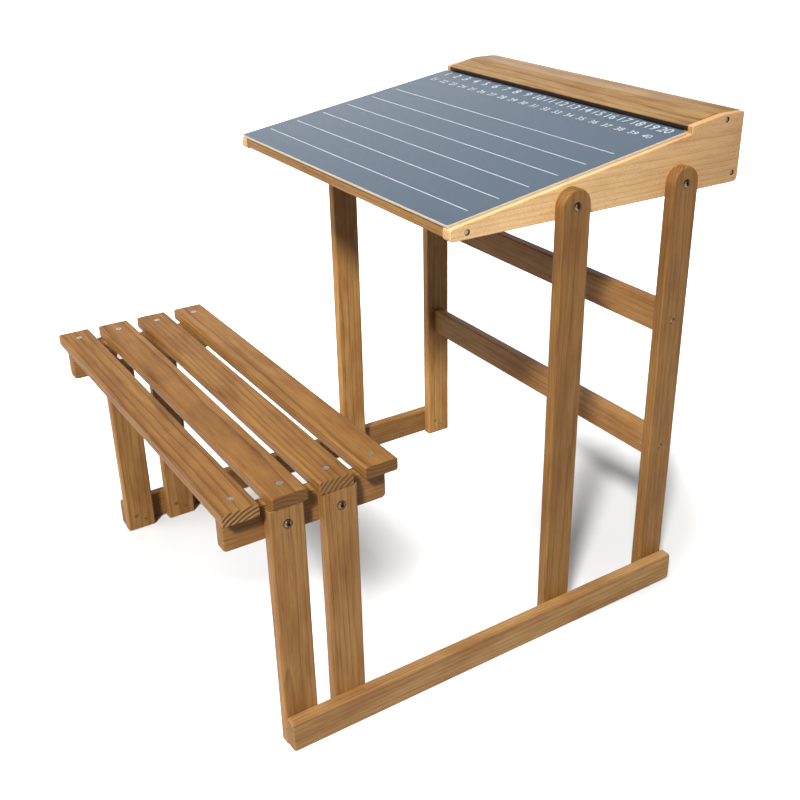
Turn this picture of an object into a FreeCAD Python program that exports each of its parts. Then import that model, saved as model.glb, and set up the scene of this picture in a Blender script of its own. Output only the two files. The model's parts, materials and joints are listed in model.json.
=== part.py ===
import FreeCAD, Part
import math
import os

# A child's school desk with its bench on one wooden frame. The pupil faces +Y, +X is the pupil's right and
# +Z is up. Lengths are millimetres. Along Y the layout is measured from the front end of the floor runners;
# the origin of the finished part is on the floor, under the middle of its overall box.

Vector = FreeCAD.Vector
UP = Vector(0, 0, 1)
DOWN = Vector(0, 0, -1)
RIGHT = Vector(1, 0, 0)
LEFT = Vector(-1, 0, 0)
BACK = Vector(0, 1, 0)

# Planed timber that the whole frame is cut from
timber_width = 45.0
timber_thickness = 17.0
timber_edge_radius = 3.0
timber_end_radius = 1.2

# Frame: runners on the floor, legs standing on the floor inside them
frame_clear_width = 560.0
runner_rear_overhang = 5.0
runner_corner_radius = 5.0
bench_leg_gap = 24.5
front_desk_leg_setback = 409.5
desk_leg_gap = 139.5
upper_crossbar_height = 430.5
lower_crossbar_height = 234.0

# Bench: four slats across two bearers
seat_height = 361.0
slat_count = 4
slat_gap = 15.0
slat_end_overhang = 1.0
seat_front_overhang = 55.0
bearer_front_setback = 4.5
bearer_rear_setback = 7.0
bearer_nose_radius = 6.0

# Desk box
box_front_setback = 257.0
box_front_height = 20.4
panel_thickness = 15.0
panel_bottom_height = 604.5
panel_step_drop = 9.0
panel_front_radius = 5.0
panel_rear_radius = 7.0
panel_top_radius = 3.0
panel_bend_radius = 60.0
panel_nose_radius = 2.0
panel_edge_radius = 1.5
rail_setback = 1.5
rail_width = 45.0
rail_thickness = 13.0
rail_rise = 2.5
rail_edge_radius = 1.5
back_thickness = 17.0
back_inset = 3.5
back_rise = 2.5
bottom_thickness = 4.0
groove_depth = 5.0
groove_clearance = 0.1

# Plank across the rear of the box top, bevelled to follow the lid
plank_proud = 0.5
plank_thickness = 17.0
plank_depth = 96.0
plank_flat_depth = 48.0
plank_bevel_drop = 10.4
plank_edge_radius = 2.0
plank_housing = 6.0
housing_clearance = 0.1

# Lid: a thin board lying on the side panels
lid_slope = 9.0
lid_side_setback = 5.0
lid_length = 379.5
lid_thickness = 4.0
lid_front_overhang = 0.7
lid_corner_radius = 5.0
lid_slot = 5.0
lid_rest_clearance = 0.2

# Butt hinges under the slot: knuckles, leaves and pins
hinge_side_setback = 110.0
hinge_length = 40.0
hinge_leaf_thickness = 1.0
hinge_leaf_width = 18.0
hinge_knuckle_radius = 1.5
hinge_middle_knuckle = 14.0
hinge_knuckle_gap = 0.2
hinge_edge_gap = 0.3
hinge_pin_radius = 0.75
hinge_pin_clearance = 0.05
hinge_leaf_corner_radius = 2.0

# Machine bolts with low round heads and hexagon sockets, and their nuts
bolt_shank_radius = 2.5
bolt_head_radius = 4.6
bolt_head_height = 2.8
bolt_head_edge = 0.6
bolt_socket_radius = 2.7
bolt_socket_depth = 2.2
bolt_clearance = 0.1
bar_bolt_head_radius = 3.3
bar_bolt_socket_radius = 1.6
bar_bolt_sink = 3.9
sunk_head_clearance = 0.9
sleeve_radius = 4.0
sleeve_length = 11.0
sleeve_flange_radius = 6.0
sleeve_flange_thickness = 1.5
sleeve_end_gap = 2.0
sleeve_bottom_gap = 0.5
barrel_nut_radius = 5.0
barrel_nut_length = 14.0
barrel_nut_depth = 26.0
crossbar_bolt_reach = 34.0

# Countersunk wood screws
screw_clearance = 0.05
panel_screw = {"head": 3.0, "shank": 1.8, "length": 38.0, "recess": 3.4}
panel_screw_sink = 1.8
slat_screw = {"head": 4.0, "shank": 2.0, "length": 32.0, "recess": 4.4}
foot_screw = {"head": 4.0, "shank": 2.0, "length": 30.0, "recess": 4.0}
plank_hinge_screw = {"head": 2.4, "shank": 1.2, "length": 8.0, "recess": 2.4}
lid_hinge_screw = {"head": 2.4, "shank": 1.2, "length": 3.6, "recess": 2.4}
screw_recess_width = 1.1
screw_recess_depth = 1.0
foot_screw_height = 20.0
foot_screw_spread_y = 8.0
foot_screw_spread_z = 5.0
back_screw_rise = 2.5
plank_screw_inset = 32.5
hinge_screw_spread = 12.0
hinge_screw_setback = 12.0

# Closeness within which an edge counts as lying in a plane or along a direction
flatness = 1e-3

# Places that follow from the sizes above
leg_inner_x = frame_clear_width / 2
leg_outer_x = leg_inner_x + timber_thickness
bench_leg_fronts = [0.0, timber_width + bench_leg_gap]
desk_leg_fronts = [front_desk_leg_setback, front_desk_leg_setback + timber_width + desk_leg_gap]
half_width = timber_width / 2
rear_leg_centre_y = desk_leg_fronts[1] + half_width
runner_length = desk_leg_fronts[1] + timber_width + runner_rear_overhang
crossbar_heights = {"upper": upper_crossbar_height, "lower": lower_crossbar_height}
slat_bottom_height = seat_height - timber_thickness
bearer_bottom_height = slat_bottom_height - timber_width
bearer_bolt_height = slat_bottom_height - half_width
bearer_middle_x = leg_inner_x - timber_thickness / 2
bearer_front_y = bearer_front_setback - seat_front_overhang
slat_fronts = [i * (timber_width + slat_gap) - seat_front_overhang for i in range(slat_count)]
slat_half_length = leg_outer_x + slat_end_overhang
bearer_rear_y = slat_fronts[-1] + timber_width - bearer_rear_setback
panel_inner_x = leg_inner_x - panel_thickness
slope = math.radians(lid_slope)
slope_rise = math.tan(slope)
knuckle_room = hinge_knuckle_radius + hinge_edge_gap
hinge_middle_x = leg_inner_x - hinge_side_setback
lid_reach = lid_length + knuckle_room
lid_front_y = box_front_setback - lid_front_overhang
lid_half_width = leg_inner_x - lid_side_setback
lid_front_top = panel_bottom_height + box_front_height
axis_y = lid_front_y + lid_reach * math.cos(slope) + lid_thickness / 2 * math.sin(slope)
axis_z = lid_front_top + lid_reach * math.sin(slope) - lid_thickness / 2 * math.cos(slope)
axis_point = Vector(0, axis_y, axis_z)
plank_front_y = axis_y - knuckle_room + lid_slot
box_rear_y = plank_front_y + plank_depth
bend_y = box_rear_y - plank_flat_depth
plank_bottom_height = axis_z + hinge_leaf_thickness / 2
plank_top_height = plank_bottom_height + plank_thickness
plank_half_length = panel_inner_x + plank_housing
panel_top_height = plank_top_height - plank_proud
panel_step_height = panel_top_height - panel_step_drop
rail_bottom_height = panel_bottom_height + rail_rise
rail_front_y = box_front_setback + rail_setback
rail_middle_y = rail_front_y + rail_width / 2
rail_middle_height = rail_bottom_height + rail_thickness / 2
back_bottom_height = panel_bottom_height + back_rise
back_rear_y = box_rear_y - back_inset
back_front_y = back_rear_y - back_thickness
bottom_height = rail_middle_height - bottom_thickness / 2
bottom_top_height = bottom_height + bottom_thickness
back_screw_height = bottom_top_height + back_screw_rise
leg_bolt_height = bottom_top_height + sleeve_flange_radius + sleeve_bottom_gap
leg_top_height = leg_bolt_height + half_width
part_centre_y = (box_rear_y - seat_front_overhang) / 2


def rest_height(y):
    """Height of the panel's top edge under the lid at a place along Y."""
    drop = (lid_thickness / 2 + lid_rest_clearance) / math.cos(slope)
    return axis_z - drop + (y - axis_y) * slope_rise


def box(x0, x1, y0, y1, z0, z1):
    return Part.makeBox(x1 - x0, y1 - y0, z1 - z0, Vector(x0, y0, z0))


def cylinder(radius, start, direction, length):
    return Part.makeCylinder(radius, length, start, direction)


def rounded_wire(corners):
    """Closed outline through corner points, each rounded by its own radius with a tangent arc."""
    points = [Vector(*corner[:3]) for corner in corners]
    radii = [corner[3] for corner in corners]
    ends = []
    for i, point in enumerate(points):
        to_last = (points[i - 1] - point).normalize()
        to_next = (points[(i + 1) % len(points)] - point).normalize()
        half_angle = to_last.getAngle(to_next) / 2
        run = radii[i] / math.tan(half_angle)
        middle = (to_last + to_next).normalize()
        tip = radii[i] / math.sin(half_angle) - radii[i]
        ends.append((point + to_last * run, point + middle * tip, point + to_next * run))
    edges = []
    for i, (start, tip, finish) in enumerate(ends):
        if radii[i] > 0:
            edges.append(Part.Arc(start, tip, finish).toShape())
        following = ends[(i + 1) % len(ends)][0]
        if (following - finish).Length > flatness:
            edges.append(Part.LineSegment(finish, following).toShape())
    return Part.Wire(edges)


def slab(corners, sweep):
    """Board cut to a rounded outline, with the sweep vector as its thickness."""
    return Part.Face(rounded_wire(corners)).extrude(sweep)


def edges_along(shape, direction):
    """Straight edges that run along a direction."""
    found = []
    for edge in shape.Edges:
        if edge.Curve.TypeId == "Part::GeomLine":
            if edge.tangentAt(edge.FirstParameter).cross(direction).Length < flatness:
                found.append(edge)
    return found


def timber(x0, x1, y0, y1, z0, z1, grain):
    """Planed batten: long edges well rounded, end edges just eased."""
    batten = box(x0, x1, y0, y1, z0, z1)
    batten = batten.makeFillet(timber_edge_radius, edges_along(batten, grain))
    ends = []
    for face in batten.Faces:
        if face.Surface.TypeId == "Part::GeomPlane" and face.normalAt(0, 0).cross(grain).Length < flatness:
            ends.extend(face.Edges)
    return batten.makeFillet(timber_end_radius, ends)


def level_edges(shape, z):
    """Edges that lie flat at one height."""
    found = []
    for edge in shape.Edges:
        limits = edge.BoundBox
        if abs(limits.ZMin - z) + abs(limits.ZMax - z) < flatness:
            found.append(edge)
    return found


def rim_edges(shape, face_places, square_z=None):
    """Outline edges of a board's faces at places along X, without those at a height where it stays square."""
    square = [] if square_z is None else level_edges(shape, square_z)
    found = []
    for edge in shape.Edges:
        limits = edge.BoundBox
        in_face = any(abs(limits.XMin - x) + abs(limits.XMax - x) < flatness for x in face_places)
        if in_face and not any(edge.isSame(other) for other in square):
            found.append(edge)
    return found


def cross_recess(length, width, depth):
    """Cross-shaped driver recess, sunk from a flat head at height 0."""
    arms = Part.makeBox(length, width, depth, Vector(-length / 2, -width / 2, -depth))
    return arms.fuse(Part.makeBox(width, length, depth, Vector(-width / 2, -length / 2, -depth)))


def turned(shape, place, inward):
    """Turn a fastener built with its tip towards -Z so that it points inward from a place."""
    moved = shape.copy()
    moved.Placement = FreeCAD.Placement(place, FreeCAD.Rotation(DOWN, inward))
    return moved


def revolved(profile):
    """Solid of revolution about Z of a profile of (radius, height) points, closed on the axis."""
    points = [Vector(radius, 0, height) for radius, height in profile]
    face = Part.Face(Part.makePolygon(points + [points[0]]))
    return face.revolve(Vector(0, 0, 0), UP, 360)


def hexagon_socket(radius):
    """Six-sided driver socket, sunk from the crown of a bolt's head."""
    turns = [math.pi / 3 * side for side in range(6)]
    floor = bolt_head_height - bolt_socket_depth
    corners = [Vector(radius * math.cos(turn), radius * math.sin(turn), floor) for turn in turns]
    return Part.Face(Part.makePolygon(corners + corners[:1])).extrude(UP * bolt_socket_depth)


def machine_bolt(place, inward, length, head_radius=bolt_head_radius, socket_radius=bolt_socket_radius):
    """Low round-headed bolt; the place is on the surface under its head."""
    crown = bolt_head_height - bolt_head_edge
    sphere_radius = (head_radius ** 2 + crown ** 2) / (2 * crown)
    dome = Part.makeSphere(sphere_radius, Vector(0, 0, bolt_head_height - sphere_radius))
    head = cylinder(head_radius, Vector(0, 0, 0), UP, bolt_head_height).common(dome)
    body = head.fuse(cylinder(bolt_shank_radius, Vector(0, 0, -length), UP, length + bolt_head_edge / 2))
    return turned(body.cut(hexagon_socket(socket_radius)).removeSplitter(), place, inward)


def sleeve_nut(place, inward, length):
    """Flanged sleeve nut; the place is on the surface under its flange, the sleeve points inward."""
    nut = cylinder(sleeve_flange_radius, Vector(0, 0, 0), UP, sleeve_flange_thickness)
    nut = nut.fuse(cylinder(sleeve_radius, Vector(0, 0, -length), UP, length + sleeve_flange_thickness / 2))
    bore_length = length - sleeve_end_gap / 2
    nut = nut.cut(cylinder(bolt_shank_radius + screw_clearance, Vector(0, 0, -length), UP, bore_length))
    return turned(nut.removeSplitter(), place, inward)


def screw_body(sizes, clearance):
    """Countersunk screw shape, with its flat head at height 0 and its tip below."""
    head, shank, length = sizes["head"] + clearance, sizes["shank"] + clearance, sizes["length"] + clearance
    neck = head - shank
    profile = [(0, 0), (head, 0), (shank, -neck), (shank, shank - length), (0, -length)]
    return revolved(profile)


def wood_screw(place, inward, sizes):
    recess = cross_recess(sizes["recess"], screw_recess_width, screw_recess_depth)
    return turned(screw_body(sizes, 0.0).cut(recess), place, inward)


def screw_hole(place, inward, sizes):
    return turned(screw_body(sizes, screw_clearance), place, inward)


def mirrored(shape):
    return shape.mirror(Vector(0, 0, 0), RIGHT)


def both_sides(shapes):
    """The right-hand shapes together with their left-hand twins."""
    return shapes + [mirrored(shape) for shape in shapes]


def cut_all(shape, tools):
    for tool in tools:
        shape = shape.cut(tool)
    return shape


pieces = {}


def add_pair(name, shape):
    """Store a right-hand piece and its left-hand twin."""
    pieces["right_" + name] = shape
    pieces["left_" + name] = mirrored(shape)


# Fasteners of the right-hand side, with the holes that they need
leg_bolt_places = [Vector(leg_outer_x, front + half_width, leg_bolt_height) for front in desk_leg_fronts]
bench_bolt_places = []
for front in bench_leg_fronts:
    bench_bolt_places.append(Vector(leg_outer_x, front + half_width, bearer_bolt_height))
bar_bolt_places = [Vector(leg_outer_x, rear_leg_centre_y, height) for height in crossbar_heights.values()]


def bolt_hole(place, length):
    return cylinder(bolt_shank_radius + bolt_clearance, place, LEFT, length)


def sleeve_hole(place):
    return cylinder(sleeve_radius + bolt_clearance, place, RIGHT, sleeve_length + sleeve_end_gap / 2)


panel_grip = timber_thickness + panel_thickness
bearer_grip = timber_thickness + timber_thickness
leg_bolts = [machine_bolt(place, LEFT, panel_grip - sleeve_end_gap) for place in leg_bolt_places]
bench_bolts = [machine_bolt(place, LEFT, bearer_grip - sleeve_end_gap) for place in bench_bolt_places]
bar_bolt_length = timber_thickness + crossbar_bolt_reach - bar_bolt_sink
bar_bolts, bar_bolt_pockets = [], []
for place in bar_bolt_places:
    head_place = place + LEFT * bar_bolt_sink
    bar_bolts.append(machine_bolt(head_place, LEFT, bar_bolt_length, bar_bolt_head_radius,
                                  bar_bolt_socket_radius))
    bar_bolt_pockets.append(cylinder(bar_bolt_head_radius + sunk_head_clearance, place, LEFT, bar_bolt_sink))
leg_nut_places = [place + LEFT * panel_grip for place in leg_bolt_places]
bench_nut_places = [place + LEFT * bearer_grip for place in bench_bolt_places]
leg_nuts = [sleeve_nut(place, RIGHT, sleeve_length) for place in leg_nut_places]
bench_nuts = [sleeve_nut(place, RIGHT, sleeve_length) for place in bench_nut_places]

foot_screw_places = []
for front in bench_leg_fronts + desk_leg_fronts:
    for side in (-1, 1):
        y = front + half_width + side * foot_screw_spread_y
        foot_screw_places.append(Vector(leg_inner_x, y, foot_screw_height - side * foot_screw_spread_z))
foot_holes = [screw_hole(place, RIGHT, foot_screw) for place in foot_screw_places]

slat_screw_places = [Vector(bearer_middle_x, front + half_width, seat_height) for front in slat_fronts]
slat_holes = [screw_hole(place, DOWN, slat_screw) for place in slat_screw_places]

panel_screw_places = {
    "rail": Vector(leg_inner_x, rail_middle_y, rail_middle_height),
    "plank": Vector(leg_inner_x, box_rear_y - plank_screw_inset, plank_bottom_height + plank_thickness / 2),
    "back": Vector(leg_inner_x, back_front_y + back_thickness / 2, back_screw_height),
}
panel_screws, panel_holes = [], {}
for name, place in panel_screw_places.items():
    head_place = place + LEFT * panel_screw_sink
    pocket = cylinder(panel_screw["head"] + sunk_head_clearance, place, LEFT, panel_screw_sink)
    panel_screws.append(wood_screw(head_place, LEFT, panel_screw))
    panel_holes[name] = screw_hole(head_place, LEFT, panel_screw).fuse(pocket)


# Floor runners, outside the legs
runner = slab(
    [
        (leg_outer_x, 0, 0, runner_corner_radius),
        (leg_outer_x, runner_length, 0, runner_corner_radius),
        (leg_outer_x, runner_length, timber_width, runner_corner_radius),
        (leg_outer_x, 0, timber_width, runner_corner_radius),
    ],
    RIGHT * timber_thickness,
)
runner_faces = [leg_outer_x, leg_outer_x + timber_thickness]
runner = runner.makeFillet(timber_edge_radius, rim_edges(runner, runner_faces))
add_pair("runner", cut_all(runner, foot_holes))


# Bench legs: square tops that carry the slats, bolted to the bearers
def bench_leg(front, bolt_place):
    leg = timber(leg_inner_x, leg_outer_x, front, front + timber_width, 0, slat_bottom_height, UP)
    return cut_all(leg, foot_holes + [bolt_hole(bolt_place, timber_thickness)])


for end, front, place in zip(("front", "rear"), bench_leg_fronts, bench_bolt_places):
    add_pair(end + "_bench_leg", bench_leg(front, place))


# Desk legs: half-round tops beside the box, the rear pair also carrying the crossbars
def desk_leg(front, bolt_places, pockets):
    rear = front + timber_width
    x = leg_inner_x
    corners = [
        (x, front, 0, 0),
        (x, rear, 0, 0),
        (x, rear, leg_top_height, half_width),
        (x, front, leg_top_height, half_width),
    ]
    leg = slab(corners, RIGHT * timber_thickness)
    leg = leg.makeFillet(timber_edge_radius, rim_edges(leg, [leg_inner_x, leg_outer_x], 0))
    leg = leg.makeFillet(timber_end_radius, level_edges(leg, 0))
    return cut_all(leg, foot_holes + pockets + [bolt_hole(place, timber_thickness) for place in bolt_places])


add_pair("front_desk_leg", desk_leg(desk_leg_fronts[0], leg_bolt_places[:1], []))
rear_leg_bolt_places = leg_bolt_places[1:] + bar_bolt_places
add_pair("rear_desk_leg", desk_leg(desk_leg_fronts[1], rear_leg_bolt_places, bar_bolt_pockets))

# Crossbars butted between the rear legs; each end holds a barrel nut let in from behind
barrel_nuts = []
for level, place in zip(crossbar_heights, bar_bolt_places):
    bar_rear_y = rear_leg_centre_y + timber_thickness / 2
    bar = timber(-leg_inner_x, leg_inner_x, bar_rear_y - timber_thickness, bar_rear_y,
                 place.z - half_width, place.z + half_width, RIGHT)
    nut_start = Vector(leg_inner_x - barrel_nut_depth, bar_rear_y - barrel_nut_length, place.z)
    nut = cylinder(barrel_nut_radius, nut_start, BACK, barrel_nut_length)
    nut_hole = cylinder(barrel_nut_radius + screw_clearance, nut_start, BACK, barrel_nut_length)
    reach_hole = bolt_hole(place, timber_thickness + crossbar_bolt_reach + bolt_clearance)
    barrel_nuts.append(nut.cut(bolt_hole(place, timber_thickness + crossbar_bolt_reach)))
    pieces[level + "_crossbar"] = cut_all(bar, both_sides([nut_hole, reach_hole]))

# Bench bearers under the slat ends, their lower corners rounded off
bearer_inner_x = leg_inner_x - timber_thickness
bearer = slab(
    [
        (bearer_inner_x, bearer_front_y, bearer_bottom_height, bearer_nose_radius),
        (bearer_inner_x, bearer_rear_y, bearer_bottom_height, bearer_nose_radius),
        (bearer_inner_x, bearer_rear_y, slat_bottom_height, 0),
        (bearer_inner_x, bearer_front_y, slat_bottom_height, 0),
    ],
    RIGHT * timber_thickness,
)
bearer_rims = rim_edges(bearer, [bearer_inner_x, leg_inner_x], slat_bottom_height)
bearer = bearer.makeFillet(timber_edge_radius, bearer_rims)
bearer = cut_all(bearer, slat_holes + [bolt_hole(place, bearer_grip) for place in bench_bolt_places])
add_pair("bearer", cut_all(bearer, [sleeve_hole(place) for place in bench_nut_places]))

# Seat slats, screwed down through their ends
for number, front in enumerate(slat_fronts, start=1):
    slat = timber(-slat_half_length, slat_half_length, front, front + timber_width,
                  slat_bottom_height, seat_height, RIGHT)
    pieces["seat_slat_" + str(number)] = cut_all(slat, both_sides([slat_holes[number - 1]]))

# Side panels of the desk box: wedge outline, a step behind the lid, a housing for the plank's end
panel = slab(
    [
        (panel_inner_x, box_front_setback, panel_bottom_height, panel_front_radius),
        (panel_inner_x, box_rear_y, panel_bottom_height, panel_rear_radius),
        (panel_inner_x, box_rear_y, panel_top_height, panel_top_radius),
        (panel_inner_x, plank_front_y + (panel_top_height - panel_step_height) / slope_rise, panel_top_height,
         panel_bend_radius),
        (panel_inner_x, plank_front_y, panel_step_height, panel_nose_radius),
        (panel_inner_x, plank_front_y, rest_height(plank_front_y), 0),
        (panel_inner_x, box_front_setback, rest_height(box_front_setback), panel_front_radius),
    ],
    RIGHT * panel_thickness,
)
panel = panel.makeFillet(panel_edge_radius, rim_edges(panel, [leg_inner_x]))
bottom_front_y = rail_front_y + rail_width - groove_depth
bottom_rear_y = back_front_y + groove_depth
bottom_half_width = panel_inner_x + groove_depth
groove = box(-bottom_half_width - groove_clearance, bottom_half_width + groove_clearance,
             bottom_front_y - groove_clearance, bottom_rear_y + groove_clearance,
             bottom_height - groove_clearance, bottom_top_height + groove_clearance)
housing = box(0, plank_half_length + housing_clearance,
              plank_front_y - housing_clearance, box_rear_y + plank_depth,
              plank_bottom_height - housing_clearance, plank_top_height + plank_thickness)
panel = cut_all(panel, [groove, housing] + list(panel_holes.values()))
panel = cut_all(panel, [bolt_hole(place, panel_grip) for place in leg_bolt_places])
add_pair("side_panel", cut_all(panel, [sleeve_hole(place) for place in leg_nut_places]))

# Front rail, back board and bottom of the box
rail = box(-panel_inner_x, panel_inner_x, rail_front_y, rail_front_y + rail_width, rail_bottom_height,
           rail_bottom_height + rail_thickness)
rail = rail.makeFillet(rail_edge_radius, edges_along(rail, RIGHT))
pieces["front_rail"] = cut_all(rail, [groove] + both_sides([panel_holes["rail"]]))
back = box(-panel_inner_x, panel_inner_x, back_front_y, back_rear_y, back_bottom_height, plank_bottom_height)
pieces["back_board"] = cut_all(back, [groove] + both_sides([panel_holes["back"]]))
pieces["box_bottom"] = box(-bottom_half_width, bottom_half_width, bottom_front_y, bottom_rear_y,
                           bottom_height, bottom_top_height)

# Rear plank: flat behind, bevelled down to a thin edge in front
plank_front_top = plank_top_height - plank_bevel_drop
plank = slab(
    [
        (-plank_half_length, plank_front_y, plank_bottom_height, 0),
        (-plank_half_length, box_rear_y, plank_bottom_height, 0),
        (-plank_half_length, box_rear_y, plank_top_height, plank_edge_radius),
        (-plank_half_length, bend_y, plank_top_height, 0),
        (-plank_half_length, plank_front_y, plank_front_top, plank_edge_radius),
    ],
    RIGHT * 2 * plank_half_length,
)

# Hinges: two leaves with interleaved knuckles round one pin, built flat and tilted to the lid
hinge_half = hinge_length / 2
middle_half = hinge_middle_knuckle / 2
lid_tilt = FreeCAD.Placement(axis_point, FreeCAD.Rotation(RIGHT, lid_slope))
unturned = FreeCAD.Placement(axis_point, FreeCAD.Rotation())
knuckle_ranges = {
    "moving": [(-middle_half + hinge_knuckle_gap, middle_half - hinge_knuckle_gap)],
    "fixed": [(-hinge_half, -middle_half), (middle_half, hinge_half)],
}


def placed(shape, placement):
    moved = shape.copy()
    moved.Placement = placement.multiply(shape.Placement)
    return moved


def hinge_leaf(kind, reach_start, low, direction):
    """Leaf plate with its knuckles; the axis is at the origin and the plate runs towards +Y or -Y."""
    far = reach_start + hinge_leaf_width
    plate = slab(
        [
            (-hinge_half, direction * knuckle_room, low, 0),
            (hinge_half, direction * knuckle_room, low, 0),
            (hinge_half, direction * far, low, hinge_leaf_corner_radius),
            (-hinge_half, direction * far, low, hinge_leaf_corner_radius),
        ],
        UP * hinge_leaf_thickness,
    )
    for start, finish in knuckle_ranges[kind]:
        neck = sorted((0.0, direction * knuckle_room))
        riser = sorted((0.0, direction * hinge_leaf_thickness))
        plate = plate.fuse(box(start, finish, neck[0], neck[1], low, low + hinge_leaf_thickness))
        plate = plate.fuse(box(start, finish, riser[0], riser[1], low, hinge_knuckle_radius / 2))
        plate = plate.fuse(cylinder(hinge_knuckle_radius, Vector(start, 0, 0), RIGHT, finish - start))
    bore_radius = hinge_pin_radius + hinge_pin_clearance
    bore = cylinder(bore_radius, Vector(-hinge_length, 0, 0), RIGHT, 2 * hinge_length)
    return plate.cut(bore).removeSplitter()


fixed_reach = plank_front_y - axis_y
moving_reach = knuckle_room
moving_low = -lid_thickness / 2 - hinge_leaf_thickness
fixed_low = -hinge_leaf_thickness / 2
fixed_leaf = hinge_leaf("fixed", fixed_reach, fixed_low, 1)
moving_leaf = hinge_leaf("moving", moving_reach, moving_low, -1)
screw_offsets = (-hinge_screw_spread, hinge_screw_spread)
fixed_screw_y = fixed_reach + hinge_screw_setback
moving_screw_y = -moving_reach - hinge_screw_setback
fixed_screw_places = [Vector(x, fixed_screw_y, fixed_low) for x in screw_offsets]
moving_screw_places = [Vector(x, moving_screw_y, moving_low) for x in screw_offsets]
fixed_leaf = cut_all(fixed_leaf, [screw_hole(place, UP, plank_hinge_screw) for place in fixed_screw_places])
moving_leaf = cut_all(moving_leaf, [screw_hole(place, UP, lid_hinge_screw) for place in moving_screw_places])
hinge_pin = cylinder(hinge_pin_radius, Vector(-hinge_half, 0, 0), RIGHT, hinge_length)


def at_hinge(shape, placement):
    """Right-hand copy of a shape that was built round the origin of the hinge axis."""
    moved = placed(shape, placement)
    moved.translate(RIGHT * hinge_middle_x)
    return moved


add_pair("hinge_fixed_leaf", at_hinge(fixed_leaf, unturned))
add_pair("hinge_moving_leaf", at_hinge(moving_leaf, lid_tilt))
add_pair("hinge_pin", at_hinge(hinge_pin, unturned))
plank_screws, plank_screw_holes, lid_screws, lid_screw_holes = [], [], [], []
for place in fixed_screw_places:
    plank_screws.append(at_hinge(wood_screw(place, UP, plank_hinge_screw), unturned))
    plank_screw_holes.append(at_hinge(screw_hole(place, UP, plank_hinge_screw), unturned))
for place in moving_screw_places:
    lid_screws.append(at_hinge(wood_screw(place, UP, lid_hinge_screw), lid_tilt))
    lid_screw_holes.append(at_hinge(screw_hole(place, UP, lid_hinge_screw), lid_tilt))
pieces["top_plank"] = cut_all(plank, both_sides(plank_screw_holes + [panel_holes["plank"]]))

# Lid board
lid_rear = -knuckle_room
lid_front = lid_rear - lid_length
lid = slab(
    [
        (-lid_half_width, lid_front, -lid_thickness / 2, lid_corner_radius),
        (lid_half_width, lid_front, -lid_thickness / 2, lid_corner_radius),
        (lid_half_width, lid_rear, -lid_thickness / 2, lid_corner_radius / 2),
        (-lid_half_width, lid_rear, -lid_thickness / 2, lid_corner_radius / 2),
    ],
    UP * lid_thickness,
)
pieces["lid_board"] = cut_all(placed(lid, lid_tilt), both_sides(lid_screw_holes))

# Fastener groups
pieces["desk_leg_bolts"] = Part.makeCompound(both_sides(leg_bolts))
pieces["desk_leg_nuts"] = Part.makeCompound(both_sides(leg_nuts))
pieces["bench_leg_bolts"] = Part.makeCompound(both_sides(bench_bolts))
pieces["bench_leg_nuts"] = Part.makeCompound(both_sides(bench_nuts))
pieces["crossbar_bolts"] = Part.makeCompound(both_sides(bar_bolts))
pieces["crossbar_barrel_nuts"] = Part.makeCompound(both_sides(barrel_nuts))
pieces["panel_screws"] = Part.makeCompound(both_sides(panel_screws))
slat_screws = [wood_screw(place, DOWN, slat_screw) for place in slat_screw_places]
pieces["slat_screws"] = Part.makeCompound(both_sides(slat_screws))
foot_screws = [wood_screw(place, RIGHT, foot_screw) for place in foot_screw_places]
pieces["foot_screws"] = Part.makeCompound(both_sides(foot_screws))
pieces["hinge_plank_screws"] = Part.makeCompound(both_sides(plank_screws))
pieces["hinge_lid_screws"] = Part.makeCompound(both_sides(lid_screws))

os.makedirs("parts", exist_ok=True)
for name, shape in pieces.items():
    shape.translate(Vector(0, -part_centre_y, 0))
    shape.exportStep("parts/" + name + ".step")
    print(name, len(shape.Solids), round(shape.Volume), shape.isValid())
print("hinge axis y and z", axis_y - part_centre_y, axis_z, "centre y", part_centre_y)
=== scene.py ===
import json
import math

import bpy
import numpy as np
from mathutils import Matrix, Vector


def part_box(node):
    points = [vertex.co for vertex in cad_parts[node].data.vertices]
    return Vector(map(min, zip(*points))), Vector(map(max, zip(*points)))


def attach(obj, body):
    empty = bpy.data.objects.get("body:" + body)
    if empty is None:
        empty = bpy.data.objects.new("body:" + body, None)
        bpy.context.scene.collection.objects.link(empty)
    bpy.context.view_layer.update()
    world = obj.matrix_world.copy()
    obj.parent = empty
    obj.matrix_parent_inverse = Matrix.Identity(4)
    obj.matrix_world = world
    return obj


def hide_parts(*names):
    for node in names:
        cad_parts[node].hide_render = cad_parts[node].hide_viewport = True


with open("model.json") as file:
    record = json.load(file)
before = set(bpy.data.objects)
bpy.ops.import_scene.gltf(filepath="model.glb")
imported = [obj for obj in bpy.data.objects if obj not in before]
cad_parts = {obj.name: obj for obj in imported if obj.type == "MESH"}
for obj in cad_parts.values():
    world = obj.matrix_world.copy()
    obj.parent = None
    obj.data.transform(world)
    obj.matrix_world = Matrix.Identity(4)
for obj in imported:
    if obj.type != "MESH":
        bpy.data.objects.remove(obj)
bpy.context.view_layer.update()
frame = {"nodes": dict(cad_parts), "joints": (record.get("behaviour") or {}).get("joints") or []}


# Floor runners: two planed pine boards on edge, stained golden brown and sealed with a satin varnish.
# The ends are rounded and the arrises eased, and foot screws hold the legs to their inner faces.
def linear(code):
    """An sRGB hex colour as linear RGBA: each channel goes through the inverse of the sRGB curve."""
    channels = [int(code[i:i + 2], 16) / 255 for i in (1, 3, 5)]
    return [c / 12.92 if c <= 0.04045 else ((c + 0.055) / 1.055) ** 2.4 for c in channels] + [1.0]


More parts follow.
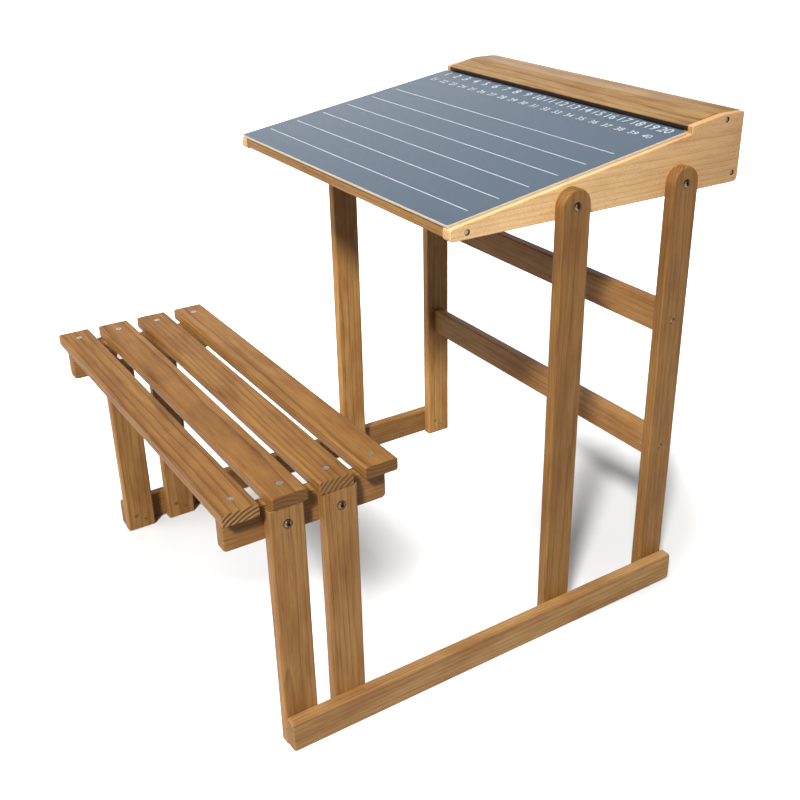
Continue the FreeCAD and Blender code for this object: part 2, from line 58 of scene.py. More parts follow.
def add(tree, kind, inputs=None, stops=(), **settings):
    """Adds one shader node. Settings are its properties; an input is linked if it is a socket, else set.

    stops are those of a colour ramp, as pairs of place and hex colour. The sockets of a Mix node go by
    number, because some share a name: 0 is the factor, 2 and 3 are plain values, and 6 and 7 colours.
    """
    made = tree.nodes.new(kind)
    for name, value in settings.items():
        setattr(made, name, value)
    for name, value in (inputs or {}).items():
        if isinstance(value, bpy.types.NodeSocket):
            tree.links.new(value, made.inputs[name])
        else:
            made.inputs[name].default_value = value
    for _ in stops[2:]:
        made.color_ramp.elements.new(0.5)
    for number, (place, code) in enumerate(stops):
        made.color_ramp.elements[number].position = place
        made.color_ramp.elements[number].color = linear(code)
    return made


def start_material(name):
    """A new material, with its node tree, its shader and the coordinates of the object it lies on."""
    material = bpy.data.materials.new(name)
    material.use_nodes = True
    tree = material.node_tree
    return material, tree, tree.nodes["Principled BSDF"], add(tree, "ShaderNodeTexCoord")


def wood(name, grain, pith, tilt, colours, ring, ends, fibre=1.1, fleck=0.0, mottle=0.8, rough=0.56,
         wander=3.0):
    """Solid wood cut from a log. The growth rings are circles about a pith line that runs along the grain.

    pith is where that line passes, in metres across the grain, in the order of the two other axes, and
    tilt turns it, in radians, so that the rings run out of the face in long arches. colours are hex codes
    for spring wood, summer wood and the darkest line of a ring, and ends are spring wood and that line on
    a sawn end. ring and fibre are the widths of a ring and of a fibre streak in millimetres. fleck is the
    strength of short ray dashes, mottle that of streaks 71 mm long and of blotches 30 mm wide and 110 mm
    long, rough the roughness and wander the waviness of the rings.
    """
    material, tree, shader, coordinates = start_material(name)
    along = "XYZ".index(grain)
    across = [axis for axis in range(3) if axis != along]
    shift, turn, stretch = [0.0] * 3, [0.0] * 3, [1.0] * 3
    strand, blotch = [1000 / fibre] * 3, [1000 / 30] * 3
    shift[across[0]], shift[across[1]] = -pith[0], -pith[1]
    # Each log is also shifted along the grain, so that no two boards show the same stretch of it.
    shift[along] = pith[0] * 7 + pith[1] * 3
    turn[across[0]], turn[across[1]] = tilt
    # Along the grain the rings change ten times more slowly than across it.
    stretch[along] = 0.1
    strand[along] = 1000 / 71.43
    blotch[along] = 1000 / 110
    log = add(tree, "ShaderNodeMapping", {
        "Vector": coordinates.outputs["Object"], "Location": shift, "Rotation": turn})
    drawn = add(tree, "ShaderNodeMapping", {"Vector": log.outputs["Vector"], "Scale": stretch})
    # The wave repeats every 2 pi / 20 of its scaled length.
    rings = add(tree, "ShaderNodeTexWave", {
        "Vector": drawn.outputs["Vector"], "Scale": 2 * math.pi / 20 / (ring / 1000), "Distortion": wander,
        "Detail": 3.0, "Detail Scale": 0.4, "Detail Roughness": 0.55},
        wave_type="RINGS", rings_direction=grain, wave_profile="SAW")
    fibres = add(tree, "ShaderNodeMapping", {"Vector": log.outputs["Vector"], "Scale": strand})
    streaks = add(tree, "ShaderNodeTexNoise", {
        "Vector": fibres.outputs["Vector"], "Scale": 1.0, "Detail": 3.0, "Roughness": 0.62})
    patches = add(tree, "ShaderNodeMapping", {"Vector": log.outputs["Vector"], "Scale": blotch})
    clouds = add(tree, "ShaderNodeTexNoise", {
        "Vector": patches.outputs["Vector"], "Scale": 1.0, "Detail": 4.0, "Roughness": 0.6})
    ring_colour = add(tree, "ShaderNodeValToRGB", {"Fac": rings.outputs["Fac"]}, stops=[
        (0.0, colours[0]), (0.45, colours[0]), (0.8, colours[1]), (0.93, colours[2]), (1.0, colours[0])])
    streak_shade = add(tree, "ShaderNodeValToRGB", {"Fac": streaks.outputs["Fac"]}, stops=[
        (0.3, "#b5a08c"), (0.52, "#ffffff"), (0.75, "#fff6ea")])
    cloud_shade = add(tree, "ShaderNodeValToRGB", {"Fac": clouds.outputs["Fac"]}, stops=[
        (0.34, "#d6c3ae"), (0.6, "#ffffff")])
    streaked = add(tree, "ShaderNodeMix", {
        0: mottle * 0.9, 6: ring_colour.outputs["Color"], 7: streak_shade.outputs["Color"]},
        data_type="RGBA", blend_type="MULTIPLY")
    clouded = add(tree, "ShaderNodeMix", {
        0: mottle, 6: streaked.outputs[2], 7: cloud_shade.outputs["Color"]},
        data_type="RGBA", blend_type="MULTIPLY")
    facing = add(tree, "ShaderNodeVectorMath", {
        0: coordinates.outputs["Normal"], 1: [float(axis == along) for axis in range(3)]},
        operation="DOT_PRODUCT")
    squareness = add(tree, "ShaderNodeMath", {0: facing.outputs["Value"]}, operation="ABSOLUTE")
    end_grain = add(tree, "ShaderNodeMapRange", {
        "Value": squareness.outputs["Value"], "From Min": 0.75, "From Max": 0.98})
    end_colour = add(tree, "ShaderNodeValToRGB", {"Fac": rings.outputs["Fac"]}, stops=[
        (0.0, ends[1]), (0.15, ends[0]), (0.55, ends[0]), (0.75, ends[1])])
    ended = add(tree, "ShaderNodeMix", {
        0: end_grain.outputs["Result"], 6: clouded.outputs[2], 7: end_colour.outputs["Color"]},
        data_type="RGBA", blend_type="MIX")
    colour = ended.outputs[2]
    if fleck:
        # The dashes are 0.45 mm wide and 3 mm long.
        dashes = [1000 / 0.45455] * 3
        dashes[along] = 1000 / 3.0303
        rays = add(tree, "ShaderNodeMapping", {"Vector": log.outputs["Vector"], "Scale": dashes})
        spots = add(tree, "ShaderNodeTexNoise", {
            "Vector": rays.outputs["Vector"], "Scale": 1.0, "Detail": 1.0, "Roughness": 0.4})
        spot_shade = add(tree, "ShaderNodeValToRGB", {"Fac": spots.outputs["Fac"]}, stops=[
            (0.62, "#ffffff"), (0.7, "#a87a52")])
        flecked = add(tree, "ShaderNodeMix", {0: fleck, 6: colour, 7: spot_shade.outputs["Color"]},
                      data_type="RGBA", blend_type="MULTIPLY")
        colour = flecked.outputs[2]
    sheen = add(tree, "ShaderNodeMapRange", {
        "Value": streaks.outputs["Fac"], "To Min": rough + 0.12, "To Max": rough - 0.06})
    relief = add(tree, "ShaderNodeMix", {0: 0.4, 2: streaks.outputs["Fac"], 3: rings.outputs["Fac"]},
                 data_type="FLOAT")
    bump = add(tree, "ShaderNodeBump", {
        "Height": relief.outputs[0], "Strength": 0.35, "Distance": 0.0003})
    tree.links.new(colour, shader.inputs["Base Color"])
    tree.links.new(sheen.outputs["Result"], shader.inputs["Roughness"])
    tree.links.new(bump.outputs["Normal"], shader.inputs["Normal"])
    shader.inputs["IOR"].default_value = 1.45
    shader.inputs["Specular IOR Level"].default_value = 0.35
    return material


def dress(name, material):
    """Gives a CAD node its material."""
    node = frame["nodes"][name]
    node.data.materials.clear()
    node.data.materials.append(material)


# Golden brown stain under satin varnish: soft highlights, with the summer wood as darker lines. The right
# runner's stain is paler, and the left one's is darker, which is painted shade.
paler_stain = ["#ab8555", "#a37b4a", "#916c3c"]
darker_stain = ["#8f6734", "#89612e", "#785224"]
pine_ends = ("#8d6533", "#5c3a16")
runners = {"right_runner": (0.352, 0.055, paler_stain), "left_runner": (-0.345, -0.03, darker_stain)}
for name, (x, z, colours) in runners.items():
    dress(name, wood("stained pine, satin, " + name, grain="Y", pith=(x, z), tilt=(0.012, 0.006),
                     colours=colours, ring=4.6, ends=pine_ends, wander=5.0))


# Desk and bench legs: pine of the same section, stained and varnished; the desk legs have half-round tops.
# Each is sawn from another part of the log, so that no two show the same grain.
stain = ["#a37845", "#9c713d", "#896030"]
# The right desk legs take a darker stain, and the left ones a paler one, which is painted light.
painted_light_stain = ["#ba8c52", "#b28347", "#9e713a"]
legs = {
    "right_front_bench_leg": (0.235, -0.335, stain), "right_rear_bench_leg": (0.345, -0.21, stain),
    "right_front_desk_leg": (0.225, 0.115, darker_stain), "right_rear_desk_leg": (0.355, 0.31, darker_stain),
    "left_front_bench_leg": (-0.345, -0.29, stain), "left_rear_bench_leg": (-0.225, -0.24, stain),
    "left_front_desk_leg": (-0.24, 0.07, painted_light_stain), "left_rear_desk_leg": (-0.335, 0.25, painted_light_stain),
}
for number, (name, (x, y, colours)) in enumerate(legs.items()):
    lean = (0.011 * (-1) ** number, 0.008 - 0.002 * number)
    ring = 4.2 + 0.25 * (number % 3)
    dress(name, wood("stained pine, satin, " + name, grain="Z", pith=(x, y), tilt=lean, colours=colours,
                     ring=ring, ends=pine_ends, wander=5.0))


# Crossbars: two pine boards on edge between the rear desk legs, stained like the bench legs.
# A bolt through each leg runs into a barrel nut in the board's end.
bar_piths = {"upper_crossbar": (0.232, 0.41), "lower_crossbar": (0.325, 0.262)}
for name, pith in bar_piths.items():
    dress(name, wood("stained pine, satin, " + name, grain="X", pith=pith, tilt=(0.004, 0.012),
                     colours=stain, ring=4.4, ends=pine_ends))


# Bench: two pine bearers bolted inside the bench legs carry four pine slats, screwed down from above.
# The slat ends are sawn square, so the growth rings show there: boldly on the first slat, less on the third
# and hardly on the other two.
bearer_piths = {"right_bearer": (0.242, 0.27), "left_bearer": (-0.235, 0.365)}
for name, pith in bearer_piths.items():
    dress(name, wood("stained pine, satin, " + name, grain="Y", pith=pith, tilt=(0.01, 0.007),
                     colours=stain, ring=4.5, ends=pine_ends))
slat_stain = ["#936933", "#875c29", "#6d481e"]
bold_ends = ("#a87c46", "#4a2d12")
clear_ends = ("#94693a", "#5a3a18")
faint_ends = ("#744e23", "#5e3e18")
slats = {
    "seat_slat_1": (-0.3415, 0.3005, bold_ends), "seat_slat_2": (-0.32, 0.285, faint_ends),
    "seat_slat_3": (-0.165, 0.262, clear_ends), "seat_slat_4": (-0.182, 0.452, faint_ends),
}
for number, (name, (y, z, ends)) in enumerate(slats.items()):
    lean = (0.0, 0.006 + 0.005 * number)
    dress(name, wood("stained pine, satin, " + name, grain="X", pith=(y, z), tilt=lean, colours=slat_stain,
                     ring=5.2, ends=ends, wander=4.5))


# Desk box: clear-varnished beech side panels and back board, and a stained pine front rail, screwed at the
# corners. A thin plywood bottom lies in grooves, and a planed plank closes the rear of the top.
def tint(material, source, direction, start, end, blend, code):
    """Lays a colour over a wood's own, from none of it at start to all of it at end.

    Start and end are places along a direction, either of the object's coordinates, in metres, or of the
    surface normal.
    """
    tree = material.node_tree
    base = tree.nodes["Principled BSDF"].inputs["Base Color"]
    along = add(tree, "ShaderNodeVectorMath", {
        0: add(tree, "ShaderNodeTexCoord").outputs[source], 1: direction}, operation="DOT_PRODUCT")
    rise = add(tree, "ShaderNodeMapRange", {
        "Value": along.outputs["Value"], "From Min": start, "From Max": end})
    mixed = add(tree, "ShaderNodeMix", {
        0: rise.outputs["Result"], 6: base.links[0].from_socket, 7: linear(code)},
        data_type="RGBA", blend_type=blend)
    tree.links.new(mixed.outputs[2], base)


# Clear varnish on beech: pale and warm, with short dark flecks, and painted shade deepening to the rear.
beech = ["#fdd49c", "#f9cb91", "#ecbb7f"]
beech_ends = ("#e2b884", "#b8895a")
beech_boards = {
    "right_side_panel": ("Y", (0.42, 0.70)), "left_side_panel": ("Y", (-0.42, 0.68)),
    "back_board": ("X", (0.52, 0.66)),
}
for name, (grain, pith) in beech_boards.items():
    beech_wood = wood("beech, clear varnish, " + name, grain=grain, pith=pith, tilt=(0.01, 0.004),
                      colours=beech, ring=3.2, ends=beech_ends, fibre=0.9, fleck=0.55, mottle=0.35,
                      rough=0.5, wander=4.0)
    # Darker towards the rear: painted shade.
    tint(beech_wood, "Object", [0.0, 1.0, 0.0], start=0.02, end=0.40, blend="MULTIPLY", code="#c5baae")
    dress(name, beech_wood)
# Stained pine on the front rail: the tone lies between those of the bench legs and the slats.
dress("front_rail", wood("stained pine, satin, front_rail", grain="X", pith=(-0.2, 0.56),
                         tilt=(0.004, 0.006), colours=["#9f7641", "#956c38", "#805a2a"], ring=4.4,
                         ends=pine_ends))
# Birch plywood, bare: even and pale, with a faint wide figure.
dress("box_bottom", wood("birch plywood, bare", grain="X", pith=(0.0, 0.49), tilt=(0.02, 0.01),
                         colours=["#d8b88c", "#cfab7c", "#bd9767"], ring=6.0, ends=("#cfab7c", "#a98255"),
                         rough=0.6, wander=8.0))
# Oiled hardwood plank: straight streaks along the board, and a low sheen. Its front edge, in the hinge slot,
# is painted near black as painted shade, so that the slot reads as one dark line.
plank_wood = wood("oiled hardwood, satin", grain="X", pith=(0.36, 0.60), tilt=(0.003, 0.006),
                  colours=["#9f7e50", "#947345", "#7d5d36"], ring=3.4, ends=("#a17745", "#7d5730"),
                  fibre=1.4, fleck=0.25, rough=0.45, wander=4.0)
# Faces turned to the front are painted near black: painted shade for the hinge slot.
tint(plank_wood, "Normal", [0.0, -1.0, 0.0], start=0.8, end=0.95, blend="MIX", code="#1c1510")
dress("top_plank", plank_wood)


# Butt hinges: two leaves of pressed steel each, rolled round a pin, let in between plank and lid.
# One leaf is screwed under the plank and the other under the lid.
def metal(name, colours, rough, spread, speck):
    """Bare metal: its colour and roughness wander with a noise whose grains are speck millimetres wide."""
    material, tree, shader, coordinates = start_material(name)
    grains = add(tree, "ShaderNodeTexNoise", {
        "Vector": coordinates.outputs["Object"], "Scale": 1000 / speck, "Detail": 4.0, "Roughness": 0.65})
    shade = add(tree, "ShaderNodeValToRGB", {"Fac": grains.outputs["Fac"]}, stops=[
        (0.3, colours[0]), (0.7, colours[1])])
    dull = add(tree, "ShaderNodeMapRange", {
        "Value": grains.outputs["Fac"], "To Min": rough - spread, "To Max": rough + spread})
    bump = add(tree, "ShaderNodeBump", {
        "Height": grains.outputs["Fac"], "Strength": 0.15, "Distance": 0.0001})
    tree.links.new(shade.outputs["Color"], shader.inputs["Base Color"])
    tree.links.new(dull.outputs["Result"], shader.inputs["Roughness"])
    tree.links.new(bump.outputs["Normal"], shader.inputs["Normal"])
    shader.inputs["Metallic"].default_value = 1.0
    return material


# Dull rolled steel: grey, with blurred reflections.
hinge_steel = metal("rolled steel, dull", ("#6f7073", "#8d8e90"), rough=0.45, spread=0.15, speck=2.0)
for side in ("right", "left"):
    for part in ("fixed_leaf", "moving_leaf", "pin"):
        dress(f"{side}_hinge_{part}", hinge_steel)


# Lid: a thin hardboard panel with a dark slate-grey writing laminate on top, its sawn edges left pale.
# The laminate stops just short of the panel's edge, so a light line shows all round it.
axis = np.array(frame["joints"][0]["pos_m"])
slope = math.radians(9)
board_low, board_high = (np.array(corner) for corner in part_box("lid_board"))
spread_y, spread_z = (board_high - board_low)[1:]
lid_half_width = board_high[0]
# The sloping board's box is length * cos + thickness * sin deep and length * sin + thickness * cos high,
# which gives the board's own length and half thickness.
lid_length = (spread_y * math.cos(slope) - spread_z * math.sin(slope)) / math.cos(2 * slope)
lid_top = (spread_z * math.cos(slope) - spread_y * math.sin(slope)) / math.cos(2 * slope) / 2
lid_rear = (axis[1] + lid_top * math.sin(slope) - board_high[1]) / math.cos(slope)
lid_front = lid_rear + lid_length
laminate = 0.0006
lid_corner = 0.003


def on_lid(across, ahead, height):
    """Points of the lid at rest: ahead runs from the hinge axis down the slope, and height square to it."""
    y = axis[1] - ahead * math.cos(slope) - height * math.sin(slope)
    z = axis[2] - ahead * math.sin(slope) + height * math.cos(slope)
    return np.stack(np.broadcast_arrays(across, y, z), axis=-1)


def surface(name, points, material, body, ring=False):
    """Makes a mesh of a grid of points, rows by columns, in which each row is a closed loop.

    The end rows are capped or, for a ring, joined to each other.
    """
    rows, columns = points.shape[:2]
    number = np.arange(rows * columns).reshape(rows, columns)
    caps = [] if ring else [number[0][::-1].tolist(), number[-1].tolist()]
    if ring:
        number = np.vstack([number, number[:1]])
    after = np.roll(number, -1, axis=1)
    quads = np.stack([number[:-1], after[:-1], after[1:], number[1:]], axis=-1).reshape(-1, 4)
    mesh = bpy.data.meshes.new(name)
    mesh.from_pydata(points.reshape(-1, 3).tolist(), [], quads.tolist() + caps)
    mesh.update()
    piece = bpy.data.objects.new(name, mesh)
    bpy.context.scene.collection.objects.link(piece)
    piece.data.materials.append(material)
    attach(piece, body)
    return piece


def sheet_points(half_width, back, front, low, high, corner, ease):
    """A board on the lid's plane: a rectangle with quarter-round corners and eased edges, in metres.

    Towards the top and the bottom face its outline is drawn in by a quarter circle of radius ease.
    """
    corner_steps, edge_steps = 7, 5
    turn = np.linspace(0, np.pi / 2, corner_steps)
    angles = np.concatenate([turn + quarter * np.pi / 2 for quarter in range(4)])
    right = np.repeat([1, -1, -1, 1], corner_steps)
    fore = np.repeat([1, 1, -1, -1], corner_steps)
    middle, half_length = (front + back) / 2, (front - back) / 2
    bend = np.linspace(0, np.pi / 2, edge_steps)
    inset = np.concatenate([ease * (1 - np.sin(bend)), ease * (1 - np.cos(bend))])[:, None]
    height = np.concatenate([low + ease * (1 - np.cos(bend)), high - ease * (1 - np.sin(bend))])[:, None]
    across = right * (half_width - corner) + (corner - inset) * np.cos(angles)
    ahead = middle + fore * (half_length - corner) + (corner - inset) * np.sin(angles)
    return on_lid(across, ahead, height)[:, ::-1]


def board_finish(name, dark, light, rough, haze):
    """A board face: fine specks, drawn 1.5 mm wide so that they show, under a soft haze.

    The haze is in wiped smears, 167 mm long across the desk and 45 mm wide.
    """
    material, tree, shader, coordinates = start_material(name)
    specks = add(tree, "ShaderNodeTexNoise", {
        "Vector": coordinates.outputs["Object"], "Scale": 1000 / 1.5, "Detail": 3.0, "Roughness": 0.7})
    wiped = add(tree, "ShaderNodeMapping", {
        "Vector": coordinates.outputs["Object"], "Scale": [1000 / 166.67, 1000 / 45.455, 1000 / 45.455]})
    smears = add(tree, "ShaderNodeTexNoise", {
        "Vector": wiped.outputs["Vector"], "Scale": 1.0, "Detail": 5.0, "Roughness": 0.6, "Distortion": 0.4})
    base = add(tree, "ShaderNodeValToRGB", {"Fac": specks.outputs["Fac"]}, stops=[(0.3, dark), (0.7, light)])
    chalk = add(tree, "ShaderNodeValToRGB", {"Fac": smears.outputs["Fac"]}, stops=[
        (0.35, "#000000"), (0.75, haze)])
    colour = add(tree, "ShaderNodeMix", {0: 1.0, 6: base.outputs["Color"], 7: chalk.outputs["Color"]},
                 data_type="RGBA", blend_type="ADD")
    dull = add(tree, "ShaderNodeMapRange", {
        "Value": smears.outputs["Fac"], "To Min": rough - 0.06, "To Max": rough + 0.1})
    bump = add(tree, "ShaderNodeBump", {
        "Height": specks.outputs["Fac"], "Strength": 0.2, "Distance": 0.0001})
    tree.links.new(colour.outputs[2], shader.inputs["Base Color"])
    tree.links.new(dull.outputs["Result"], shader.inputs["Roughness"])
    tree.links.new(bump.outputs["Normal"], shader.inputs["Normal"])
    shader.inputs["IOR"].default_value = 1.5
    return material


# Pale sawn hardboard: matt and beige.
hardboard = board_finish("hardboard, sawn", "#bfae97", "#d6c8b2", rough=0.7, haze="#101010")
core_points = sheet_points(lid_half_width, lid_rear, lid_front, -lid_top, lid_top - laminate, lid_corner,
                           ease=0.0006)
core = surface("lid_core", core_points, hardboard, "lid")
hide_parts("lid_board")
# Slate-grey laminate: fine even specks, a low sheen, and a faint wiped chalk haze.
slate = board_finish("slate laminate, satin", "#414f5d", "#526270", rough=0.38, haze="#141518")
side_margin, rear_margin, front_margin = 0.0005, 0.0003, 0.0005
face_points = sheet_points(lid_half_width - side_margin, lid_rear + rear_margin, lid_front - front_margin,
                           lid_top - laminate, lid_top, lid_corner, ease=0.00025)
surface("writing_face", face_points, slate, "lid")


# Ruled lines: six white lines printed across the writing face, 45.5 mm apart, for practice writing.
# Each is a film of ink a few hundredths of a millimetre proud of the laminate.
# White ink: matt, and a little grey where the laminate's grain shows through.
ink = board_finish("white ink, matt", "#a3aab0", "#c6cbd0", rough=0.6, haze="#101010")
ink_height = 0.00004
line_half_length, line_width, line_spacing = 0.2585, 0.0015, 0.0455
first_line_inset = 0.0409
line_corners = np.array([[-1, -1], [1, -1], [1, 1], [-1, 1]])
for number in range(6):
    place = lid_front - first_line_inset - line_spacing * number
    loop = on_lid(line_corners[:, 0] * line_half_length, place - line_corners[:, 1] * line_width / 2,
                  np.array([[lid_top], [lid_top + ink_height]]))
    surface(f"ruled_line_{number + 1}", loop, ink, "lid")


# Number rows: plain numbers printed in white along the rear of the writing face, from 1 to 40.
# The rear row is the larger; both are films of the same ink.
def number_row(name, first, last, half_length, ahead, size):
    """Plain numbers evenly spaced along a row, each made of the font's outline as a mesh on the lid."""
    values = range(first, last + 1)
    for value, across in zip(values, np.linspace(-half_length, half_length, len(values))):
        text = bpy.data.curves.new(f"{name}_{value}", "FONT")
        text.body = str(value)
        text.size = size
        text.align_x = "CENTER"
        text.extrude = ink_height / 2
        text.resolution_u = 3
        shape = bpy.data.objects.new(f"{name}_{value}_outline", text)
        bpy.context.scene.collection.objects.link(shape)
        bpy.context.view_layer.update()
        mesh = bpy.data.meshes.new_from_object(shape.evaluated_get(bpy.context.evaluated_depsgraph_get()))
        bpy.data.objects.remove(shape)
        flat = np.empty(len(mesh.vertices) * 3)
        mesh.vertices.foreach_get("co", flat)
        flat = flat.reshape(-1, 3)
        placed = on_lid(across + flat[:, 0], ahead - flat[:, 1], lid_top + ink_height / 2 + flat[:, 2])
        mesh.vertices.foreach_set("co", placed.ravel())
        mesh.update()
        piece = bpy.data.objects.new(f"{name}_{value}", mesh)
        bpy.context.scene.collection.objects.link(piece)
        mesh.materials.clear()
        mesh.materials.append(ink)
        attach(piece, "lid")


number_row("large_number", 1, 20, half_length=0.25, ahead=0.0225, size=0.023)
number_row("small_number", 21, 40, half_length=0.246, ahead=0.0495, size=0.016)


# Bolts, nuts and screws: plated steel. Bolts with hexagon sockets join legs, box and bearers; screws with
# cross recesses hold the slats, panels, runners and hinges.
# Bright zinc on screws and hidden nuts: light grey with soft glints.
zinc = metal("zinc-plated steel, bright", ("#c4c5c5", "#e2e2e0"), rough=0.42, spread=0.1, speck=1.2)
for name in ("desk_leg_nuts", "bench_leg_nuts", "crossbar_barrel_nuts", "slat_screws", "hinge_plank_screws",
             "hinge_lid_screws"):
    dress(name, zinc)
# Nickelled steel: dark, warm and polished on the large bolts, with small sharp glints, and paler and duller
# on the sunk ones.
nickelled = metal("nickelled steel, polished", ("#66523c", "#90785c"), rough=0.3, spread=0.08, speck=1.2)
for name in ("desk_leg_bolts", "bench_leg_bolts"):
    dress(name, nickelled)
pale_nickel = metal("nickelled steel, satin", ("#a89f94", "#cbc2b7"), rough=0.42, spread=0.08, speck=1.2)
for name in ("crossbar_bolts", "panel_screws"):
    dress(name, pale_nickel)
# Browned steel on the foot screws: brown and satin, to match the stain.
dress("foot_screws", metal("browned steel, satin", ("#7a5630", "#96703f"), rough=0.4, spread=0.1, speck=1.2))


# Washers and socket shade of the large bolts: a pressed steel cup washer lies round each bolt head, on the
# leg.
# A near-black fill lies in the bolt's hexagon socket, a little under its crown: painted shade.
def side_loops(sign, depth, y, z, radius, angles):
    """Loops about a line that runs across the desk at y and z, one for each depth and radius.

    depth is measured from the desk's middle. sign is 1 on the right, and -1 on the left, where the loops
    are mirrored.
    """
    return np.stack(np.broadcast_arrays(
        sign * depth, y + radius * np.cos(sign * angles), z + radius * np.sin(sign * angles)), axis=-1)


# Burnished steel: near black, with small glints.
burnished = metal("burnished steel, polished", ("#3a3029", "#5c5046"), rough=0.22, spread=0.06, speck=1.2)
# Painted shade: a black, matt fill with hardly any sheen, for the shade in sockets and holes.
shade_fill = board_finish("dark wax, matt", "#0e0b09", "#1b1512", rough=0.7, haze="#050505")
shade_fill.node_tree.nodes["Principled BSDF"].inputs["Specular IOR Level"].default_value = 0.1
hexagon = np.linspace(0, 2 * np.pi, 6, endpoint=False)
circle = np.linspace(0, 2 * np.pi, 24, endpoint=False)
socket_radius = 0.00268
socket_depths = np.array([[0.0017], [0.0005]])
# The washer's section: up its outer edge, in over the cup to the bolt head, and down to the leg.
washer_radius = np.array([[0.0063], [0.0063], [0.0056], [0.00465], [0.00465]])
washer_height = np.array([[0.0], [0.0002], [0.0007], [0.0009], [0.0]])
for bolts, bolted in (("desk_leg_bolts", ("front_desk_leg", "rear_desk_leg")),
                      ("bench_leg_bolts", ("front_bench_leg", "rear_bench_leg"))):
    low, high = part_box(bolts)
    height = (low[2] + high[2]) / 2
    for leg in bolted:
        for side, sign in (("right", 1), ("left", -1)):
            leg_low, leg_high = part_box(f"{side}_{leg}")
            middle = (leg_low[1] + leg_high[1]) / 2
            # The black socket fill is painted shade.
            loop = side_loops(sign, high[0] - socket_depths, middle, height, socket_radius, hexagon)
            surface(f"{side}_{leg}_bolt_wax", loop, shade_fill, "frame")
            leg_face = max(abs(leg_low[0]), abs(leg_high[0]))
            rim = side_loops(sign, leg_face + washer_height, middle, height, washer_radius, circle)
            surface(f"{side}_{leg}_cup_washer", rim, burnished, "frame", ring=True)


# Painted shade at the panel screws: the same black fill lies in the gap round each sunk screw head in the
# side panels. It lies a little under the wood, as a ring between the head and the hole.
hole_radius, head_radius, deep, shallow = 0.00388, 0.00302, 0.0017, 0.0004
ring_radius = np.array([[hole_radius], [hole_radius], [head_radius], [head_radius]])
ring_depths = np.array([[deep], [shallow], [shallow], [deep]])
rail_box = np.array(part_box("front_rail"))
plank_box = np.array(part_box("top_plank"))
back_box = np.array(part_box("back_board"))
plank_screw_inset, back_screw_rise = 0.0325, 0.0025
screw_places = {
    "rail": (rail_box[:, 1].mean(), rail_box[:, 2].mean()),
    "plank": (plank_box[1, 1] - plank_screw_inset, plank_box[:, 2].mean()),
    "back": (back_box[:, 1].mean(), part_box("box_bottom")[1][2] + back_screw_rise),
}
panel_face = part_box("right_side_panel")[1][0]
for side, sign in (("right", 1), ("left", -1)):
    for name, (y, z) in screw_places.items():
        # The black ring round each screw head is painted shade.
        loop = side_loops(sign, panel_face - ring_depths, y, z, ring_radius, circle)
        surface(f"{side}_{name}_screw_wax", loop, shade_fill, "frame", ring=True)


# Studio: a white floor that glows like a light table, under a white dome. A key light beside the viewer, a
# front fill, a top light and a rear fill light the desk, and a soft box on the far left gives the writing
# face its sheen. The view maps colours as they are.
def staged(name, points, material):
    """Makes a stage piece of a grid of points, rows by columns, as an open sheet."""
    rows, columns = points.shape[:2]
    number = np.arange(rows * columns).reshape(rows, columns)
    quads = np.stack([number[:-1, :-1], number[:-1, 1:], number[1:, 1:], number[1:, :-1]], axis=-1)
    mesh = bpy.data.meshes.new(name)
    mesh.from_pydata(points.reshape(-1, 3).tolist(), [], quads.reshape(-1, 4).tolist())
    mesh.materials.append(material)
    piece = bpy.data.objects.new(name, mesh)
    bpy.context.scene.collection.objects.link(piece)
    piece.visible_diffuse = False
    return piece


def paper(name, dark, light, glow, dim=()):
    """Matt white paper with a faint unevenness a third of a metre wide, and a glow of its own.

    The glow fades to nothing inside the ellipses of dim: middle x and y, turn in degrees, half length and
    half width.
    """
    material, tree, shader, coordinates = start_material(name)
    place = coordinates.outputs["Object"]
    spread = add(tree, "ShaderNodeTexNoise", {"Vector": place, "Scale": 1000 / 333.33, "Detail": 2.0})
    shade = add(tree, "ShaderNodeValToRGB", {"Fac": spread.outputs["Fac"]}, stops=[
        (0.3, dark), (0.7, light)])
    level = glow
    for x, y, turned, half_length, half_width in dim:
        ellipse = add(tree, "ShaderNodeMapping", {
            "Vector": place, "Location": [x, y, 0.0], "Rotation": [0.0, 0.0, math.radians(turned)],
            "Scale": [half_length, half_width, 1.0]}, vector_type="TEXTURE")
        fade = add(tree, "ShaderNodeTexGradient", {"Vector": ellipse.outputs["Vector"]},
                   gradient_type="SPHERICAL")
        lit = add(tree, "ShaderNodeMapRange", {
            "Value": fade.outputs["Fac"], "From Max": 0.6, "To Min": 1.0, "To Max": 0.0},
            interpolation_type="SMOOTHSTEP")
        dimmed = add(tree, "ShaderNodeMath", {0: lit.outputs["Result"], 1: level}, operation="MULTIPLY")
        level = dimmed.outputs["Value"]
    tree.links.new(shade.outputs["Color"], shader.inputs["Base Color"])
    tree.links.new(shade.outputs["Color"], shader.inputs["Emission Color"])
    if dim:
        tree.links.new(level, shader.inputs["Emission Strength"])
    else:
        shader.inputs["Emission Strength"].default_value = glow
    shader.inputs["Roughness"].default_value = 0.9
    shader.inputs["Specular IOR Level"].default_value = 0.0
    return material


reach, floor_height = 30.0, -0.0004
across, back = np.meshgrid(np.linspace(-reach, reach, 5), np.linspace(-reach, reach, 5))
# Where the floor doesn't glow, beside the right desk legs and under the bench, shadows show on it.
beside_legs = (0.15, 0.35, 131, 0.42, 0.25)
under_bench = (-0.17, -0.2, 41, 0.4, 0.24)
staged("floor", np.stack([across, back, np.full_like(across, floor_height)], axis=-1),
       paper("white paper, matt", "#cfcfce", "#d3d3d3", glow=1.3, dim=[beside_legs, under_bench]))
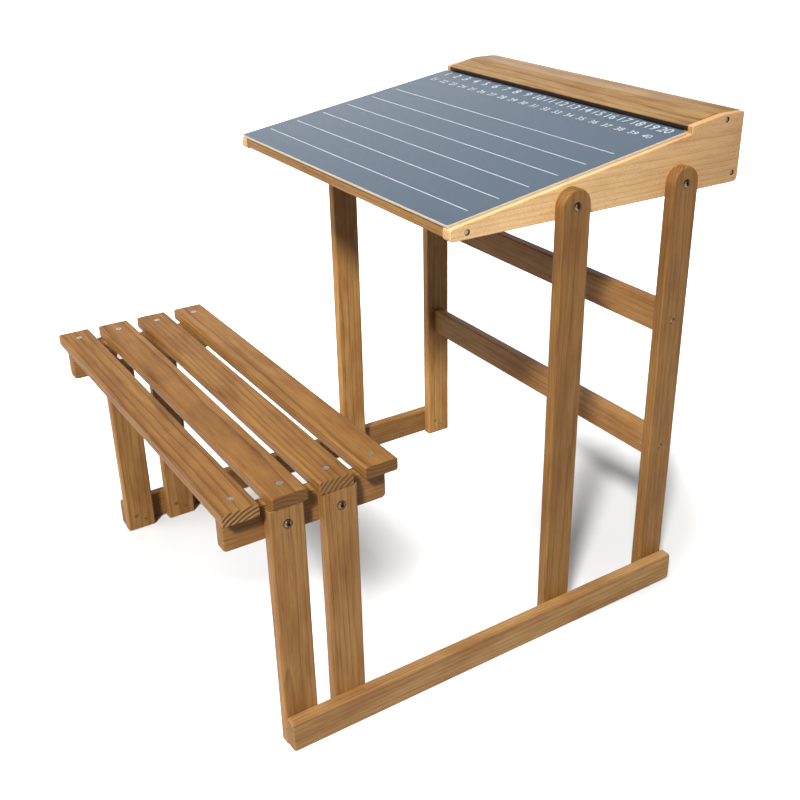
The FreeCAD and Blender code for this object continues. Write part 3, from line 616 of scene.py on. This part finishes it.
# The dome is seen but lights nothing.
turn, rise = np.meshgrid(np.linspace(2 * np.pi, 0, 49), np.radians(np.linspace(-2, 80, 12)))
directions = np.stack([np.cos(rise) * np.cos(turn), np.cos(rise) * np.sin(turn), np.sin(rise)], axis=-1)
dome = staged("dome", reach * directions,
              paper("white paper, lit from behind", "#f4f4f3", "#f8f8f8", glow=1.2))
dome.visible_glossy = False
dome.visible_shadow = False


def sun(name, strength, softness, azimuth, elevation):
    """A distant lamp seen softness degrees wide. Azimuth is from +X towards +Y, elevation from the floor."""
    lamp = bpy.data.lights.new(name, "SUN")
    lamp.energy = strength
    lamp.angle = math.radians(softness)
    made = bpy.data.objects.new(name, lamp)
    bpy.context.scene.collection.objects.link(made)
    made.rotation_euler = (0, math.radians(90 - elevation), math.radians(azimuth))
    return made


sun("key", strength=4.7, softness=8, azimuth=-49, elevation=43)
sun("front fill", strength=0.9, softness=30, azimuth=-112, elevation=26)
sun("top light", strength=0.95, softness=22, azimuth=-90, elevation=70)
# The rear fill gives no sheen.
rear_fill = sun("rear fill", strength=0.7, softness=40, azimuth=140, elevation=28)
rear_fill.visible_glossy = False

box_lamp = bpy.data.lights.new("soft box", "AREA")
box_lamp.shape = "RECTANGLE"
box_lamp.size = 0.9
box_lamp.size_y = 2.6
box_lamp.energy = 13
soft_box = bpy.data.objects.new("soft box", box_lamp)
bpy.context.scene.collection.objects.link(soft_box)
soft_box.location = (-2.2, 1.1, 1.05)
soft_box.rotation_euler = (0, math.radians(-80), math.radians(-27))

world = bpy.data.worlds.new("studio")
bpy.context.scene.world = world
world.use_nodes = True
world.node_tree.nodes["Background"].inputs["Color"].default_value = (1.0, 1.0, 1.0, 1.0)
world.node_tree.nodes["Background"].inputs["Strength"].default_value = 0.12
bpy.context.scene.view_settings.view_transform = "Standard"


# Viewer: stands to the pupil's right and in front, looking down on the desk.
# Lens and shifts were fitted to the runners, legs and slats.
camera = bpy.data.objects.new("camera", bpy.data.cameras.new("camera"))
bpy.context.scene.collection.objects.link(camera)
camera.data.sensor_width = 36.0
camera.data.lens = 48.11
camera.data.shift_x = -0.0581
camera.data.shift_y = -0.0205
camera.location = (1.2407, -0.7435, 0.9958)
camera.rotation_euler = (math.radians(64.01), 0.0, math.radians(55.64))
bpy.context.scene.camera = camera
